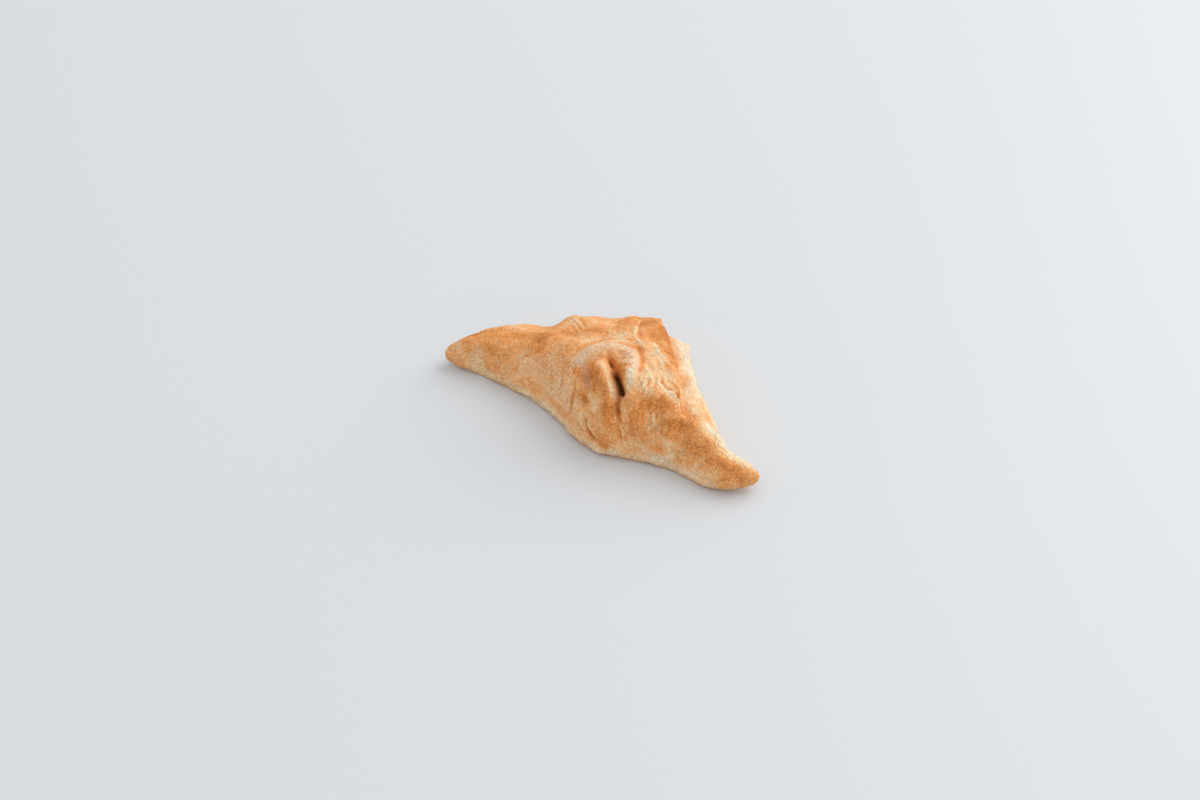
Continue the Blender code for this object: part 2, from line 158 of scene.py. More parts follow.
# Small creases and lips that are too fine for the part, in the same order of values
FINE_FOLDS = {
    "floor of the hollow": (((66, 4.3, 26.1), (68.1, 0.8, 24), (71.3, -2.4, 22), (74.6, -4.4, 21)), 2, -0.8),
    "streak below the hollow": (((72, -5.4, 17.9), (74, -6.2, 17.8), (75.8, -6.8, 17.9)), 0.5, -0.6),
    "ridge over the crevice": (
        ((97.4, 11.6), (100.4, 9.2), (103.4, 8.6), (106.2, 8.8), (108.9, 7.4)), 0.6, 0.5),
    "pit of the seam": (((107.6, 10.8), (109, 9.4)), 1, -1.2),
    "first line in front": (((95.6, -2.6, 22.6), (96, -4.6, 19.8)), 0.3, -0.4),
    "second line in front": (((99.4, -2.2, 21.6), (100.2, -4.4, 18.2)), 0.3, -0.35),
    "lip left of the vent": (
        ((76.9, 4.6, 29.8), (79.3, 2.7, 29.4), (81.3, 0.7, 28.4), (83.6, -1.1, 27.1), (85.4, -2.5, 25.8),
         (86.6, -3.7, 24.4), (87.8, -4.9, 22.7)), 0.8, 0.8),
    "lip right of the vent": (
        ((79.5, 15.4), (83.2, 14.5), (86.6, 10), (88.4, 5.2), (89, 2.1)), 1.3, 0.4),
    "lip below the vent": (((87.1, -4.2), (88, -3.2), (89.8, -2.6)), 0.6, 0.6),
    "edge beside the crease": (
        ((87.8, -4.9, 22.7), (88.6, -6.3, 20.4), (90.2, -7.8, 17.1), (91, -8.5, 15.4)), 0.4, 0.6),
    "line under the crease": (
        ((91.6, -7.8, 16.6), (93.6, -8.7, 13.4), (95.2, -9.9, 9.5), (96.6, -10.6, 7)), 0.4, 0.4),
    "crease beside the line": (((90.6, -7.9, 16.7), (92.6, -9.2, 13), (94.4, -10.3, 9.2)), 0.4, -0.4),
    "loop in front": (
        ((93.2, -5.7, 19.5), (94.8, -6.2, 17.7), (95.6, -7.3, 14.9), (95.2, -8.2, 13.3)), 0.4, 0.35),
    "pale line on the pleat": (((103, -1, 21.6), (104, -2.2, 19.4), (105, -3.5, 17.2)), 0.6, 0.35),
    "hair crease on the pleat": (((102.1, -0.9, 22.1), (102.8, -2.4, 19.8), (103.6, -3.8, 17.3)), 0.5, -0.3),
    "crack of the lap": (
        ((77.4, -9, 14), (78.5, -10.2, 12.4), (80.3, -11.9, 9.6), (83.6, -13.1, 7.7),
         (86.4, -14, 5.3), (88.4, -13.9, 4.2)), 0.6, -1.1),
    "edge of the lap": (
        ((79, -9.6, 13), (81.2, -11.2, 10.6), (84.4, -12.4, 8.8), (87, -13.4, 6.6)), 0.8, 0.5),
    "line on the skirt": (((59.8, -5.8, 4.9), (64.2, -8, 4.7), (68.1, -10, 4.9)), 0.6, -0.4),
    "rim of the collar": (
        ((66.2, 9.6), (68.3, 10.6), (70.3, 12.4), (75.4, 15.6), (79.7, 19.4), (82.8, 19.6), (85.8, 17),
         (87.8, 14), (89.6, 8.6), (90.4, 3.6)), 0.45, 0.5),
    "outer rim of the collar": (
        ((59.4, 9), (60, 14.7), (62.2, 18.5), (64.2, 23.6), (68.6, 26.6)), 0.45, 0.45),
    "fold above the collar": (((65.4, 13.8), (69.7, 18), (73.2, 22.5), (77.1, 26), (80.7, 26.2)), 0.5, 0.5),
    "crease in the collar": (((68, 12.6), (72.2, 17.8), (76.5, 20.6), (80.8, 20.6)), 0.4, -0.3),
    "first line on the lobe": (((78.3, 12), (80.2, 14.4), (82.7, 15.6)), 0.4, -0.35),
    "second line on the lobe": (((80.1, 9.8), (82.9, 11.6), (86.4, 11.2)), 0.4, -0.35),
    "third line on the lobe": (((82.3, 6.9), (86.1, 7.6), (88.6, 7.5)), 0.4, -0.3),
    "crack beside the hollow": (((64.6, 8.2), (63.8, 4), (64.6, 0)), 0.5, -0.35),
    "dark streak of the hollow": (((72.6, -4.7, 19.3), (75, -6, 18.7), (76.4, -6.9, 17.9)), 0.8, -0.6),
    "edge of the crack": (((69.3, -4.9, 16.7), (69.9, -6.8, 13.6), (69.9, -8.5, 10)), 0.8, 0.5),
    "crease on the dome": (((53, 2.5, 17.5), (55, 0.3, 14.6), (55.4, -1.6, 10.8)), 0.6, -0.25),
    "second crease on the dome": (((58.8, 2.6, 20.5), (60.4, -0.3, 17), (59.2, -2, 12.8)), 0.6, -0.25),
    "crease on the left arm": (((38.4, 7.6), (36.6, 5.2), (34.9, 2.6), (34.2, 0.8)), 0.9, -0.3),
    "seam line": (
        ((65.8, 51.5), (67.9, 46.7), (72.8, 37), (74.4, 32), (77.3, 28.8), (80.7, 26.9), (83.6, 25.4)),
        0.5, 0.6),
    "seam crack": (((106.4, 11.2), (108.4, 9.8), (110.4, 8.4), (112.4, 6.4), (113.8, 4.4)), 0.6, -0.6),
    "first seam crescent": (((102.6, 15.6), (104.6, 13.8), (106.3, 14.7)), 0.45, 0.6),
    "second seam crescent": (((108.4, 9), (110.4, 6.6), (113.1, 4.9)), 0.5, 0.6),
    "seam branch": (((98.8, 15.6), (102.6, 14.2), (105.8, 12.4)), 0.6, -0.6),
    "edge of the flap": (((82.8, 34.7), (87.2, 27.9), (90.2, 25.8), (93.6, 23.5)), 0.6, 0.5),
    "flap crease": (((83.2, 35.5), (86.6, 31.6), (89.8, 27.7), (92.8, 27.1), (94.4, 28.7)), 0.5, -0.8),
    "crescent by the flap": (((82.6, 24.5), (84.8, 23.7), (86.8, 21.5)), 0.5, 0.5),
    "wrinkle low": (((94.9, 1.4), (95.5, 3.4), (94.6, 5.2)), 0.35, 0.45),
    "wrinkle beside": (((97.4, 1.2), (97.2, 3.2), (96.2, 5.2)), 0.3, 0.45),
    "wrinkle next": (((95.4, 5.8), (94.2, 8.4), (92.8, 10)), 0.35, 0.5),
    "wrinkle middle": (((98, 5), (97, 8.2), (95.4, 11)), 0.35, 0.45),
    "short wrinkle": (((93, 4.6), (92.4, 7)), 0.35, 0.4),
    "wrinkle upper": (((95.6, 12.4), (94.2, 14.8), (92.4, 16.4)), 0.4, 0.45),
    "wrinkle above": (((98.8, 9.4), (97.6, 12.6), (96.4, 14.4)), 0.35, 0.45),
    "wrinkle top": (((97.6, 15.2), (95.4, 18.4), (92.6, 20.6)), 0.4, 0.35),
    "wrinkle at the ridge": (((100.4, 6), (99.6, 8.6)), 0.4, 0.6),
    "dark stroke low": (((96.3, 1), (96.4, 3.4), (95.4, 5.6)), 0.3, -0.5),
    "dark stroke middle": (((96.8, 4.6), (95.8, 8), (94.2, 10.8)), 0.3, -0.5),
    "dark stroke upper": (((99.2, 6.2), (97.9, 10.2), (96, 13.2)), 0.3, -0.45),
    "dark stroke left": (((94, 3.4), (93.4, 6.8), (91.8, 9.2)), 0.3, -0.4),
    "crease by the wrinkles": (
        ((95.4, 18.5), (98.2, 14.6), (101.3, 11.2), (103.6, 11), (105.5, 11.4)), 0.6, -0.9),
    "low crescent": (
        ((110.2, -5.1, 11.8), (111.7, -4.3, 13.2), (113.4, -4.2, 13.2), (115, -4.3, 12.7)), 0.6, 0.6),
    "second low crescent": (((112.8, -5, 11.3), (114.6, -4.3, 12.6), (116.6, -4.2, 12.8)), 0.6, 0.5),
    "stem of the low crescent": (((113.4, -5.3, 10.6), (114.1, -6.6, 7.4)), 1, 0.5),
    "arc on the right arm": (((129, -4.5, 11.6), (131, -4.9, 10.8), (133.5, -4.9, 10.5)), 0.7, -0.5),
    "tip wrinkle": (((141, 2.4), (144.6, 1.2), (148.4, 0.9)), 0.7, 0.5),
    "flake on the back": (((43.7, 34.1), (48.3, 30.9), (52.7, 26.5)), 0.6, 0.45),
    "second flake on the back": (((44.6, 31.1), (48.9, 27.6), (52.5, 24.3)), 0.6, 0.45),
    "third flake on the back": (((44.7, 35.8), (49.1, 32.1), (53, 28.3)), 0.5, -0.4),
    "fourth flake on the back": (((44.2, 32.6), (48.6, 29.2), (52.6, 25.4)), 0.5, -0.4),
}

# Overlaps: plan positions, height of the side left of the line, which is negative where it sinks,
# and its reach. The edge holds the distances from the line where that side begins and is full
OVERLAPS = {
    "lap over the skirt": (((71, -7), (75, -10.2), (78.4, -12.3), (82, -13.4), (87.5, -14.1)), 2, 6),
    "lap across the back": (((62.8, 56), (65.8, 50), (70.1, 42.4), (74.7, 35.6), (78.6, 31.6)), -0.8, 7),
}
OVERLAP_EDGE = (-0.2, 0.3)

# Swells and dents: plan position, radius, and height, which is negative where they sink
SWELLS = {
    "hollow left of the fold": (70.2, 0.2, 4, -3.6),
    "upper dent": (66.9, 4.2, 1.7, -1.6),
    "middle dent": (70.3, 1.2, 1.6, -1.2),
    "lower dent": (73.6, -3, 1.6, -1),
    "lobe right of the vent": (87.6, 4.6, 3.4, 0.8),
    "pit in the seam": (108.8, 11.6, 1.6, -1.8),
    "swell on the front": (57, 0.5, 8, 1.4),
    "pale bump": (111.9, -4.6, 3, 1),
    "swell on the right arm": (124, 1, 7, 1.2),
    "dip on the right arm": (131.5, 3.5, 5, -0.9),
    "swell on the roll": (42, 34, 5, 0.6),
    "dip on the roll": (53.5, 44, 5, -0.9),
    "swell on the flap": (76.5, 44, 6.5, 1.2),
}

# Small lumps and dents that are too fine for the part
FINE_SWELLS = {
    "first ridge of the hollow": (68.7, 3.4, 1.2, 0.9),
    "second ridge of the hollow": (72, -0.9, 1.4, 0.9),
    "first dent": (66.6, 4.2, 1.2, -1.1),
    "second dent": (70.1, 1.8, 1.2, -1.2),
    "first bright bump": (74.6, 1.6, 0.7, 0.5),
    "second bright bump": (74, 0.6, 0.7, 0.4),
    "pit at the left tip": (1.6, 1.6, 1.3, -0.7),
    "lump by the flap": (85, 25.2, 1.3, 0.6),
    "low bump at the left": (25.5, 0.6, 2, 0.5),
    "second low bump": (30, 0.6, 1.8, 0.5),
    "third low bump": (35.5, 0, 2, 0.5),
    "fourth low bump": (45.5, -1.7, 2.2, 0.4),
    "pale bump on the right arm": (133.3, -2, 2.2, 0.7),
    "second bump on the right arm": (127.6, 0.4, 1.6, 0.4),
    "third bump on the right arm": (122.4, -2.6, 1.5, 0.4),
    "fourth bump on the right arm": (137.6, -2.8, 1.6, 0.4),
    "bump on the left arm": (28, 14, 1.8, 0.4),
    "second bump on the left arm": (18.6, 9.6, 1.6, 0.35),
}

# Unevenness of the dough: seed, number of waves, length and height, then the least and most share
# of the length that one wave gets
BROAD_WAVES = (4, 9, 17, 0.35)
SHORT_WAVES = (12, 12, 8, 0.2)
WAVE_LENGTHS = (0.7, 1.4)

# Grain of the crust: size, height
LUMPS = ((5.5, 0.16), (2.6, 0.15), (1.3, 0.16))
GRAIN_SIZE = 0.8
GRAIN_HEIGHT = 0.13

# Scallops of the torn rim: size, height, the heights between which they begin and end, how flat they
# are, and where they lie in the noise
SCALLOP_SIZE = 3.2
SCALLOP_HEIGHT = 1.1
SCALLOP_BEGINS = (0.3, 1.5)
SCALLOP_ENDS = (5, 7.5)
SCALLOP_FLATNESS = (1, 1, 2.2)
SCALLOP_SHIFT = 7

# Fine cracks of the dry skin: size of the net, its stretch, line width and depth, then the size of
# the patches and the levels between which they fade in, and where both lie in the noise
CRACK_SIZE = 4.0
CRACK_STRETCH = (0.7, 1, 1.5)
CRACK_WIDTH = 0.07
CRACK_DEPTH = 0.3
CRACK_PATCHES = (9, -0.05, 0.25)
CRACK_SHIFT = 23
PATCH_SHIFT = 29

# Numerical steps for the outward direction, a length that keeps it from being divided by zero,
# pieces of a path from point to point, and how many half widths a fold reaches
STEP_ALONG = 0.2
STEP_AROUND = 0.003
TINY_LENGTH = 1e-9
PATH_PIECES = 5
FAR_WIDTHS = 3.2

# Tone of the crust: browning and flour everywhere, then patches with plan positions or places in
# space, half width, added browning and added flour. Some patches are painted shade or painted light, as their
# comments say
PLAIN_BROWNING = 0.57
PLAIN_FLOUR = 0.14
TONES = {
    # Painted shade in the hollow, painted as added browning
    "shade of the hollow": (((66, 3, 25.4), (68.6, -0.4, 23.2), (71.8, -3.4, 21.4)), 3.4, 0.18, 0),
    # Painted highlights: glints on the crest of the fold painted as pale spots
    "painted glint on the fold": (((75, 2.5, 28.3), (75.2, 2.3, 28.3)), 0.6, -0.4, 0),
    "second painted glint": (((74.4, 0.9, 27), (74.5, 0.8, 27)), 0.5, -0.35, 0),
    "pale middle": (((89, 23), (92.5, 16), (94.5, 9.5)), 4.6, -0.08, 0.02),
    "lip of the seam": (((66.8, 49.4), (70.4, 41.8), (74.4, 32), (78.6, 28), (83.6, 25.4)), 0.7, -0.24, 0),
    "yellow spot by the collar": (((83.6, 23.6), (85.6, 22.6)), 1.1, 0.02, -0.3),
    "band above the collar": (((66.4, 14), (71, 20), (75.4, 25), (80.7, 26.4)), 1.3, -0.22, 0.1),
    "pale band of the flap": (((82.8, 34.7), (87.2, 27.9), (90.2, 25.8), (93.6, 23.5)), 1.1, -0.18, 0),
    "crack of the flap": (((86.6, 31.6), (89.8, 27.7), (92.8, 27.1), (94.4, 28.7)), 0.8, 0.28, -0.2),
    "right edge of the flap": (((89.4, 39.6), (93, 35), (96.6, 30.8)), 1.6, 0.16, -0.2),
    "pale flank of the seam": (
        ((104.2, 23.7, 15.2), (110.2, 17.4, 18.3), (115.9, 10.1, 19.9)), 3.4, -0.4, 0.05),
    "pale far end of the arm": (((136.5, 1.2, 13.4), (140.2, 0.8, 12), (143, 0.6, 10.9)), 1.7, -0.4, 0.08),
    "pale crown of the body": (((96.8, 16.9, 26.1), (100.3, 15.4, 24.9), (105, 11.7, 23.9)), 2.2, -0.2, 0.04),
    # Painted light: the lobe's side is painted paler and less floury, as though lit
    "painted light on the side of the lobe": (((88.4, 5.2, 29.7), (89.2, 2.8, 28.8), (89.4, 0.6, 27.6)), 1.6, -0.24, -0.5),
    "brown below the hollow": (((80.6, -9, 15.4), (84.2, -10.5, 13.2)), 2.2, 0.16, -0.2),
    "brown beside the crease": (((95.2, -5, 19.5), (97.4, -7.1, 14.1)), 1.8, 0.22, -0.25),
    "tan low front": (((106.4, -7, 9), (109.9, -6.5, 8.7)), 1.8, 0.18, -0.15),
    "orange middle of the band": (((53.6, 15.1), (50.6, 23.1), (52.4, 25.9)), 3.2, 0.12, -0.2),
    "orange ridge of the left arm": (((24, 12.2), (26.3, 13.8), (30.2, 16)), 3, 0.18, -0.2),
    "pale top of the fold": (((74.8, 4.5, 29.3), (76.4, 3.5, 29.2)), 1.5, -0.26, 0.4),
    "brown crest of the fold": (((82.4, -3.3, 25), (84.6, -4.8, 23.3), (86.4, -6.2, 21.1)), 1.6, 0.1, -0.3),
    "upper side of the left arm": (
        ((2, 3), (12, 9.5), (24, 14), (36, 15), (44, 13.5)), 6, 0.17, -0.3),
    "left tip": (((-1, 1.5), (4, 1)), 3.5, -0.16, -0.1),
    "ochre patch on the left arm": (((19.2, 5.2), (22, 5.8)), 2.2, 0.12, -0.15),
    "pink patch on the left arm": (((20.8, 1.7), (23.5, 1.6)), 1.5, 0.1, -0.1),
    "pale streak on the left arm": (((36.4, 6), (35.9, 3.7), (35.9, 1.7)), 1.6, -0.14, 0.24),
    "second pale streak": (((15.5, 3), (16.7, 1.6)), 1.2, -0.1, 0.14),
    "low side of the left arm": (((14, 0), (30, 0), (44, -1.6)), 2.4, -0.2, 0.12),
    "round brown patch": (((41, 10), (42.6, 10.4)), 2, 0.14, -0.1),
    "front dome": (((44, 4), (52.2, 3.5), (58.9, -0.8), (64, -4.5)), 6, -0.07, 0.22),
    "back band, left": (((41.1, 15.6), (43.4, 21.4), (47.7, 25.6)), 4.5, 0.22, -0.3),
    "back band, middle": (((51.9, 30), (56.5, 28.6), (61.2, 31.9)), 4.5, 0.24, -0.3),
    "back band, right": (((61.6, 45.1), (65.5, 40), (69.4, 35.4)), 3.5, 0.1, -0.14),
    "back edge": (((46, 36), (50, 40), (56, 46), (62, 50), (68, 54)), 5, 0.14, -0.15),
    "pale spot of the band": (((63.1, 32), (67.7, 29.5), (71.7, 26.7)), 2.6, -0.34, 0.08),
    "flaky spot": (((44.3, 33.4), (48.6, 29.8), (52.4, 26)), 1.8, -0.2, 0.1),
    "brown flap": (((73.1, 47.5), (78.4, 43.3), (82.7, 39)), 5.5, 0.36, -0.35),
    "strip of the flap": (((76.5, 56), (80, 49), (84.5, 43), (89, 37.5), (93, 33)), 2.6, 0.3, -0.35),
    "collar": (
        ((64.4, 5.5), (65.5, 9), (68.5, 11.6), (72, 14), (76, 16.4), (80.6, 17), (84.8, 14.4),
         (88, 9.4), (89.8, 4.6)), 2.7, -0.18, 0.65),
    "floury side of the collar": (((59.4, 9.9), (63.8, 6.8), (64.2, 4.5)), 2.2, -0.06, 0.12),
    "lobe right of the vent": (((77.5, 12.4), (81.6, 11), (84.8, 7.6)), 2.2, 0, 0.3),
    "walls of the vent": (((76.4, 9.6), (80.2, 7.2), (84.8, 3.2), (88.4, 0)), 1.5, 0.34, -0.5),
    "right wall of the vent": (
        ((80.6, 8.6, 31), (83.8, 6.4, 30.6), (86.6, 3.9, 29.6), (88.2, 1.4, 28.2),
         (89, -1, 26.3)), 1.2, 0.14, -0.3),
    "lip left of the vent": (
        ((76.9, 4.6, 29.8), (79.3, 2.7, 29.4), (81.3, 0.7, 28.4), (83.6, -1.1, 27.1), (85.4, -2.5, 25.8),
         (86.6, -3.7, 24.4), (87.8, -4.9, 22.7)), 0.8, -0.16, 0),
    "fold left of the vent": (
        ((75.4, 1.6, 28), (79.9, -1.5, 26.4), (82.4, -3.3, 25), (84.6, -4.8, 23.3), (86.4, -6.2, 21.1),
         (88.2, -7.4, 18.8)), 2.6, 0.3, -0.6),
    "low end of the fold": (((84.8, -7, 20), (87, -8.4, 17.2), (89, -9.4, 14)), 2.4, 0.2, -0.35),
    "rim of the hollow": (((64.9, 2.4), (66.6, 4.6), (69.6, 4.4)), 1.4, 0.14, -0.2),
    # Painted shade: the fold's side of the hollow is painted browner
    "painted shade on the fold's side of the hollow": (((71.2, 4.4), (73.2, 1.6), (75.4, -1.2), (77.8, -3.8)), 1.2, 0.26, -0.2),
    "floor of the hollow": (((66, 4.3, 26.1), (68.1, 0.8, 24), (70.3, -1.6, 22.4)), 1.2, -0.08, 0.32),
    "low end of the hollow": (((70.4, -3.2, 18.6), (73, -4.8, 18), (75.6, -6.4, 16.6)), 2.4, 0.24, -0.25),
    "brown side of the lap": (((81.1, -11.4, 10.8), (85.2, -12.3, 9.1), (88.6, -12.9, 7.2)), 2.2, 0.18, -0.2),
    "brown corner of the lap": (((86.4, -13.7, 6.1), (89, -13.6, 5.2)), 1.4, 0.26, -0.25),
    "brown front": (((93.6, -2.2, 23.6), (97.4, -0.7, 24), (99.9, 0.1, 23.7)), 3.2, 0.24, -0.5),
    "lower brown front": (((98.4, -2.2, 22), (97.6, -4.2, 19.5)), 2.4, 0.2, -0.4),
    "ochre front": (((99.5, -3.9, 19.1), (100.7, -5.4, 15.7), (101.7, -6.9, 11.9)), 2.4, 0.22, -0.45),
    "second ochre front": (((96.8, -6.2, 16.5), (98, -8, 11.8)), 1.8, 0.16, -0.2),
    "pale front": (((91.6, -4, 22.7), (93.2, -5.7, 19.5)), 1.2, -0.1, 0.12),
    "pale line of the front": (((103, -1, 21.6), (105, -3.5, 17.2)), 0.9, -0.12, 0.1),
    "brown beside the crescent": (((106.1, -2.8, 18), (107.8, -4.7, 13.7), (110, -5.9, 10)), 2, 0.16, -0.3),
    "brown under the ridge": (((103.4, 1.5, 23.6), (105.5, 3.3, 23.9), (108.6, 3.8, 23.2)), 2.8, 0.26, -0.2),
    "orange patch": (((111.2, -0.6, 19.8), (112.6, -0.8, 19.1), (114.2, -1, 18.6)), 3.2, 0.24, -0.7),
    "low orange patch": (((111.7, -3.1, 15.9), (115.4, -3.5, 14.4), (119.4, -3.9, 13.6)), 2.4, 0.16, -0.15),
    "pale crescent": (((108.7, -8, 4.5), (112.3, -7.2, 5.5), (115.2, -6.2, 8.2)), 1.4, -0.26, 0.16),
    "right arm": (((117.8, -0.2), (125.7, -2.2), (134.6, -2.8), (142.1, -2.6)), 4.2, 0.26, -0.3),
    "low right arm": (((123.7, -6.2, 8.9), (131.2, -7.1, 7.8), (138.3, -6.7, 6.9)), 2.2, 0.08, -0.1),
    "right tip": (((142.7, -2), (146, -1.3), (148.8, 0.1)), 2.6, 0.06, -0.3),
    "far edge of the right arm": (
        ((124.3, 6.2), (131.7, 5.4), (138, 4.6), (144.6, 3.9)), 2.8, -0.46, 0.1),
    # Painted light: the ridge is painted paler where light falls on it
    "painted light on the ridge of the body": (((96, 10.6), (99.4, 9.4), (104.6, 8.4), (109, 7.2)), 1.9, -0.17, 0.04),
    "low side of the right arm": (((122.9, -7.7), (129.5, -7.9), (135.6, -6.9)), 2, -0.18, 0.1),
    "spot under the flap": (((96.4, 21.9), (97.6, 20.7)), 1.6, 0.26, -0.15),
    "spot among the wrinkles": (((98.4, 14.4), (100.2, 12.2)), 1.1, 0.2, -0.1),
    "yellow spot": (((101.9, 20.5), (103.1, 19.3)), 1.4, 0.18, -0.1),
    # Painted shade in the pit, as added browning and less flour
    "pit of the seam": (((107.6, 10.8), (109, 9.4)), 1.2, 0.34, -0.2),
    "brown below the pit": (((112, 8.6), (114.2, 6.2)), 1.6, 0.16, -0.15),
    "ochre on the lower layer": (((120.5, 13.2), (124.9, 8.4)), 1.8, 0.22, -0.1),
    "pale wrinkles": (((93.5, 18.2), (96.6, 11.6), (97.5, 5.9), (95.7, 3)), 2.2, -0.06, 0.1),
    "ridge beside the seam": (((97, 22.5), (100.6, 12.5), (105.6, 8.3), (109.2, 6.5)), 2.2, -0.2, 0.06),
    "lower layer": (
        ((84, 62), (90, 52), (97, 42), (104, 33), (111, 25.5), (118, 20), (126, 12.5), (134, 7)),
        5.2, -0.46, 0.05),
    "corner of the lower layer": (((84, 60), (89, 53), (95, 43)), 5, -0.3, 0.1),
    "skirt": (
        ((44, -3), (53.1, -4.6), (63.1, -8.6), (73.3, -12.8), (82.9, -14.6), (90.9, -13.8),
         (99.4, -11.2), (108.8, -8.9), (120, -8.2), (131.8, -8.6)), 2.4, -0.22, 0.12),
}

# Where the tone changes at the rim and underneath, how uneven it is (size, browning, flour), and
# where browning and flour lie in the noise
PALE_RIM = (5.5, 1.5)
RIM_BROWNING = -0.20
RIM_FLOUR = 0.12
UNDER_BROWNING = 0.22
UNDER_BEGINS = (1.0, 1.12)
UNDER_ENDS = (1.88, 2.0)
TONE_NOISE = ((14.0, 0.20, 0.14), (5.0, 0.18, 0.14), (2.0, 0.11, 0.10))
BROWNING_SHIFT = 11
FLOUR_SHIFT = 17

# Painted shade inside named creases, the vent hole and pits: how dark each is painted, where more than 1
# gives a firm edge
PAINTED_CREASE_SHADE = {
    "vent hole": 1.7,
    "vent corner": 0.35,
    "vent slit": 0.08,
    "mouth of the crease": 0.3,
    "crease under the vent": 0.45,
    "crack of the lap": 0.4,
    "crack left of the hollow": 0.3,
    "dark streak of the hollow": 0.12,
    "streak below the hollow": 0.15,
    "floor of the hollow": 0.16,
    "pit of the seam": 0.35,
    "crease by the wrinkles": 0.12,
}

# Half width below which a fold counts as a fine line, and what fine lines do to the tone; sunk fine creases
# get painted shade as added browning and less flour
NARROW = 1.45
CREASE_SHADE_BROWNING = 0.22
CREASE_SHADE_FLOUR = -0.35
LIP_BROWNING = -0.20
LIP_FLOUR = 0.12
CRACK_BROWNING = 0.2

# Crust colours, from pale dough to dark brown
CRUST_COLOURS = (
    (0.00, (0.95, 0.80, 0.58)),
    (0.22, (0.955, 0.665, 0.385)),
    (0.42, (0.94, 0.56, 0.282)),
    (0.60, (0.92, 0.441, 0.170)),
    (0.78, (0.85, 0.334, 0.093)),
    (1.00, (0.67, 0.233, 0.052)),
)
FLOUR_COLOUR = (0.92, 0.625, 0.435)
# Colour of the painted shade inside creases, the vent hole and pits
PAINTED_SHADE_COLOUR = (0.31, 0.11, 0.02)

# Fine raised wrinkles of the skin
WRINKLE_STRETCH = (1.0, 1.0, 0.45)
WRINKLE_TURN = (0.5, 0.35, 0.4)
WRINKLE_SIZE = 2.4
WRINKLE_WIDTH = 0.035
WRINKLE_PATCHES = 12.0
WRINKLE_EDGES = (0.40, 0.52)
WRINKLE_BROWNING = -0.2
WRINKLE_HEIGHT = 0.8

# Blotches, specks and fine grain: sizes, what they do to the browning, the flour and the shade, and
# the levels between which they act
BLOTCH_SIZE = 2.2
SPECK_SIZE = 0.7
FINE_SIZE = 0.3
NOISE_DETAIL = 3
LOW_DETAIL = 2
NOISE_ROUGHNESS = 0.55
BLOTCH_SHARE = 0.20
SPECK_EDGES = (0.40, 0.62)
SPECK_SHADE = (0.89, 1.15)
FINE_EDGES = (0.36, 0.64)
FINE_SHADE = (0.88, 1.14)
SPECK_SHARE = 0.04
DUSTING_SHARE = 0.3
FLOUR_EDGE = (0.12, 0.80)
FLOUR_MOST = 0.70

# Gloss, light in the dough, and bump
ROUGHNESS_LEVELS = (0.3, 0.7)
ROUGHNESS_RANGE = (0.45, 0.78)
SPECULAR = 0.22
SUBSURFACE = 0.06
SUBSURFACE_SCALE = 0.003
BUMP_STRENGTH = 0.7
BUMP_DISTANCE = 0.0007
FINE_BUMP = 0.5

# Floor, light and camera
FLOOR_SIZE = 4.0
FLOOR_COLOUR = (0.695, 0.72, 0.745, 1)
FLOOR_ROUGHNESS = 0.5
WORLD_COLOUR = (0.97, 0.985, 1.0, 1)
WORLD_STRENGTH = 0.755
KEY_AZIMUTH = 155
KEY_ELEVATION = 36
KEY_DISTANCE = 3.0
KEY_SIZE = 3.0
KEY_POWER = 60
KEY_COLOUR = (1.0, 0.985, 0.96)
CAMERA_PLACE = (0.25342, -0.42312, 0.42595)
CAMERA_AZIMUTH = 32.07
CAMERA_ELEVATION = 41.10
LENS = 46.04


def station(column, x):
    """Smooth curve through one column of the stations."""
    places = STATIONS[:, 0]
    values = STATIONS[:, column]
    spans = np.diff(places)
    slopes = np.diff(values) / spans
    tangents = np.empty_like(values)
    tangents[1:-1] = (spans[1:] * slopes[:-1] + spans[:-1] * slopes[1:]) / (spans[1:] + spans[:-1])
    tangents[0] = slopes[0]
    tangents[-1] = slopes[-1]
    k = np.clip(np.searchsorted(places, x) - 1, 0, len(places) - 2)
    t = np.clip((x - places[k]) / spans[k], 0, 1)
    start = (2 * t**3 - 3 * t**2 + 1) * values[k] + (t**3 - 2 * t**2 + t) * spans[k] * tangents[k]
    end = (3 * t**2 - 2 * t**3) * values[k + 1] + (t**3 - t**2) * spans[k] * tangents[k + 1]
    return start + end


def ramp(low, high, value):
    """Smooth rise from 0 at low to 1 at high."""
    t = np.clip((value - low) / (high - low), 0, 1)
    return t * t * (3 - 2 * t)


def rounded_path(points):
    """Smooth path through a few points."""
    p = np.array(points, dtype=float)
    p = np.vstack([2 * p[0] - p[1], p, 2 * p[-1] - p[-2]])
    path = []
    for k in range(1, len(p) - 2):
        a, b, c, d = p[k - 1:k + 3]
        for t in np.linspace(0, 1, PATH_PIECES, endpoint=False):
            bend = (2 * a - 5 * b + 4 * c - d) * t**2 + (3 * b - a - 3 * c + d) * t**3
            path.append(0.5 * (2 * b + (c - a) * t + bend))
    path.append(p[-2])
    return np.array(path)


def nearest_on_path(places, path):
    """Distance, offset, run and share of length for the nearest place on a path."""
    distance = np.full(len(places), np.inf)
    offset = np.zeros_like(places)
    run = np.zeros_like(places)
    share = np.zeros(len(places))
    for k in range(len(path) - 1):
        piece = path[k + 1] - path[k]
        t = np.clip((places - path[k]) @ piece / (piece @ piece), 0, 1)
        away = places - path[k] - t[:, None] * piece
        length = np.linalg.norm(away, axis=1)
        near = length < distance
        distance[near] = length[near]
        offset[near] = away[near]
        run[near] = piece
        share[near] = (k + t[near]) / (len(path) - 1)
    return distance, offset, run, share


def floor_height(x):
    """Underside: flat on the surface, with both tips lifted a little."""
    left = LEFT_TIP_LIFT * ramp(-LEFT_LIFT_FROM, -LEFT_END, -x)
    return left + RIGHT_TIP_LIFT * ramp(RIGHT_LIFT_FROM, RIGHT_END, x)


